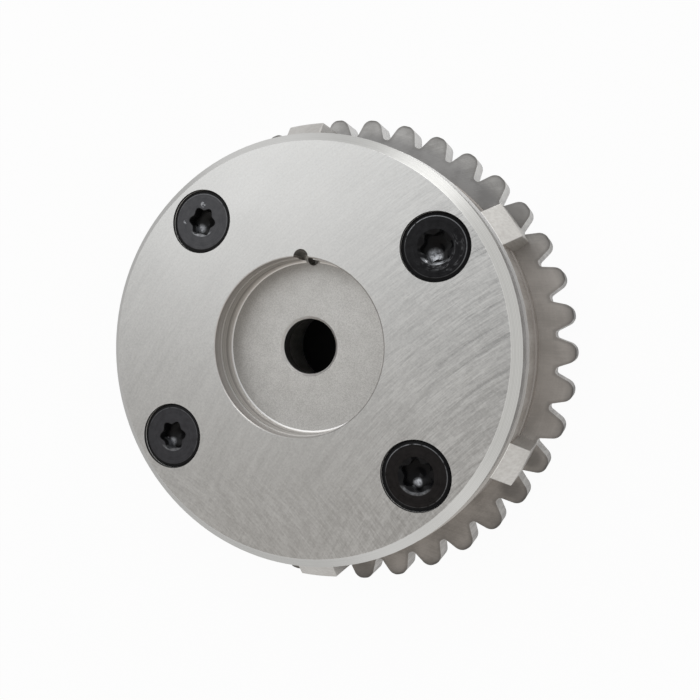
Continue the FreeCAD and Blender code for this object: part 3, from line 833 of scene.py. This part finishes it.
low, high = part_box("lock_pin_spring")
pinLow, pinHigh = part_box("lock_pin")
pinCentre = ((pinLow[0] + pinHigh[0]) / 2.0, (pinLow[1] + pinHigh[1]) / 2.0)
points = springSurface(springForm, low[2] / mm, high[2] / mm)
coil = closedTube("lockPinSpring", points + np.array([pinCentre[0] / mm, pinCentre[1] / mm, 0.0]))
smoothByAngle(coil, springForm["smooth"])
coil.data.materials.append(springSteel)
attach(coil, "lock_pin")
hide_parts("lock_pin_spring")
travel = next(joint for joint in frame["joints"] if joint["name"] == "lock_pin_slide")["range_m"][1]
1.0 - travel / (high[2] - low[2])
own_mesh(coil)
print("spring made")


# Studio

studio = {
    "floorHalf": 1.6,
    "floorColour": (0.93, 0.93, 0.93),
    "underColour": (0.03, 0.03, 0.03),  # painted shade where the part stands, seen only through its bore
    "underRadius": 44.0,
    "underBlur": 2.0,
    "floorGlow": 0.95,
    "mirrorNear": 0.22,
    "mirrorFar": 0.80,
    "mirrorReach": (80.0, 190.0),
    "zenith": (0.475, 0.475, 0.475),
    "coolSide": (0.462, 0.470, 0.482),
    "coolFrom": (0.05, 0.22),  # y of the direction from which it sets in, and where it is full
    "warmSide": (0.448, 0.422, 0.396),
    "warmFrom": (0.0, -0.25),
    "brightSide": (0.98, 0.97, 0.95),
    "brightFrom": (-0.1, 0.6),  # the same in x
    "brightEnds": (0.55, 1.0),  # the same in y, either way
    "endShare": 0.6,
    "brightBelow": (0.8, 0.1),  # the same in z
    "lamps": [
        {"name": "topLamp", "place": (-0.37, 0.39, 0.75), "size": 0.70, "watts": 1.5},
        {"name": "sideLamp", "place": (0.38, 1.03, 0.24), "size": 0.50, "watts": 1.5},
    ],
}


def floorFinish(values):
    # Diffuse white with painted shade under the part; the camera sees plain white, and mirror rays see it
    # paler far off.
    material = bpy.data.materials.new("studioFloor")
    material.use_nodes = True
    tree = material.node_tree
    tree.nodes.clear()
    output = tree.nodes.new("ShaderNodeOutputMaterial")
    diffuse = tree.nodes.new("ShaderNodeBsdfDiffuse")
    glow = tree.nodes.new("ShaderNodeEmission")
    coordinates = tree.nodes.new("ShaderNodeTexCoord")
    x, y, z = Wire(tree, coordinates.outputs["Object"]).parts()
    reach = (x * x + y * y).root() / mm
    beyond = reach.step(values["underRadius"], values["underRadius"] + values["underBlur"])
    # Painted shade: the floor near black under the part.
    colour = beyond.tint(values["underColour"], values["floorColour"])
    tree.links.new(colour.socket, diffuse.inputs["Color"])
    path = tree.nodes.new("ShaderNodeLightPath")
    mirrored = Wire(tree, path.outputs["Is Glossy Ray"]) + Wire(tree, path.outputs["Is Transmission Ray"])
    seen = Wire(tree, path.outputs["Is Camera Ray"]) * values["floorGlow"]
    far = reach.step(*values["mirrorReach"]) * (values["mirrorFar"] - values["mirrorNear"])
    share = seen.most(mirrored * (far + values["mirrorNear"])) * beyond
    blend = tree.nodes.new("ShaderNodeMixShader")
    tree.links.new(share.socket, blend.inputs[0])
    tree.links.new(diffuse.outputs[0], blend.inputs[1])
    tree.links.new(glow.outputs[0], blend.inputs[2])
    tree.links.new(blend.outputs[0], output.inputs[0])
    return material


def makeFloor(values):
    half = values["floorHalf"]
    mesh = bpy.data.meshes.new("studioFloor")
    mesh.from_pydata([(-half, -half, 0.0), (half, -half, 0.0), (half, half, 0.0), (-half, half, 0.0)],
                     [], [(0, 1, 2, 3)])
    floor = bpy.data.objects.new("studioFloor", mesh)
    bpy.context.scene.collection.objects.link(floor)
    mesh.materials.append(floorFinish(values))


def makeWorld(values):
    # A grey sky, cool towards +Y and warm towards -Y, with brighter sides that fade upwards.
    world = bpy.data.worlds.new("studioWorld")
    bpy.context.scene.world = world
    world.use_nodes = True
    tree = world.node_tree
    background = tree.nodes["Background"]
    direction = tree.nodes.new("ShaderNodeTexCoord")
    x, y, z = Wire(tree, direction.outputs["Generated"]).parts()
    sky = y.step(*values["coolFrom"]).tint(values["zenith"], values["coolSide"])
    sky = y.step(*values["warmFrom"]).tint(sky, values["warmSide"])
    beside = (x + y * 0.2).step(*values["brightFrom"])
    ends = abs(y).step(*values["brightEnds"]) * values["endShare"]
    beside = beside.most(ends) * z.step(*values["brightBelow"])
    tree.links.new(beside.tint(sky, values["brightSide"]).socket, background.inputs["Color"])


def makeLamp(values):
    lamp = bpy.data.lights.new(values["name"], "AREA")
    lamp.shape = "SQUARE"
    lamp.size = values["size"]
    lamp.energy = values["watts"]
    holder = bpy.data.objects.new(values["name"], lamp)
    holder.location = values["place"]
    holder.rotation_euler = (-Vector(values["place"])).to_track_quat("-Z", "Y").to_euler()
    bpy.context.scene.collection.objects.link(holder)


makeFloor(studio)
makeWorld(studio)
for lampValues in studio["lamps"]:
    makeLamp(lampValues)
print("studio made")


# Camera at the photograph's viewing angle

photoView = {
    "picture": 700.0,
    "focal": 829.85,
    "centre": (268.0, 287.0),  # pixel on the lens axis
    "yaw": -23.095,
    "pitch": -3.231,
    "roll": -3.509,
    "offset": (5.418, -11.795, -163.814),  # of the cover's face from the camera, in the camera's axes
    "sensor": 36.0,
    "clip": (0.005, 20.0),
}


def makeCamera(values):
    yaw = Matrix.Rotation(math.radians(values["yaw"]), 3, "Y")
    pitch = Matrix.Rotation(math.radians(values["pitch"]), 3, "X")
    roll = Matrix.Rotation(math.radians(values["roll"]), 3, "Z")
    turn = (pitch @ yaw @ roll).transposed()
    face = Vector((0.0, 0.0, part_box("front_cover")[1][2]))
    place = turn @ (Vector(values["offset"]) * -mm) + face
    picture = values["picture"]
    camera = bpy.data.cameras.new("photoCamera")
    camera.sensor_width = values["sensor"]
    camera.lens = values["focal"] * values["sensor"] / picture
    camera.shift_x = (picture / 2.0 - values["centre"][0]) / picture
    camera.shift_y = (values["centre"][1] - picture / 2.0) / picture
    camera.clip_start, camera.clip_end = values["clip"]
    holder = bpy.data.objects.new("photoCamera", camera)
    holder.matrix_world = Matrix.Translation(place) @ turn.to_4x4()
    bpy.context.scene.collection.objects.link(holder)
    bpy.context.scene.camera = holder
    print("camera at", [round(value, 4) for value in place])


makeCamera(photoView)
bpy.context.scene.view_settings.view_transform = "Standard"
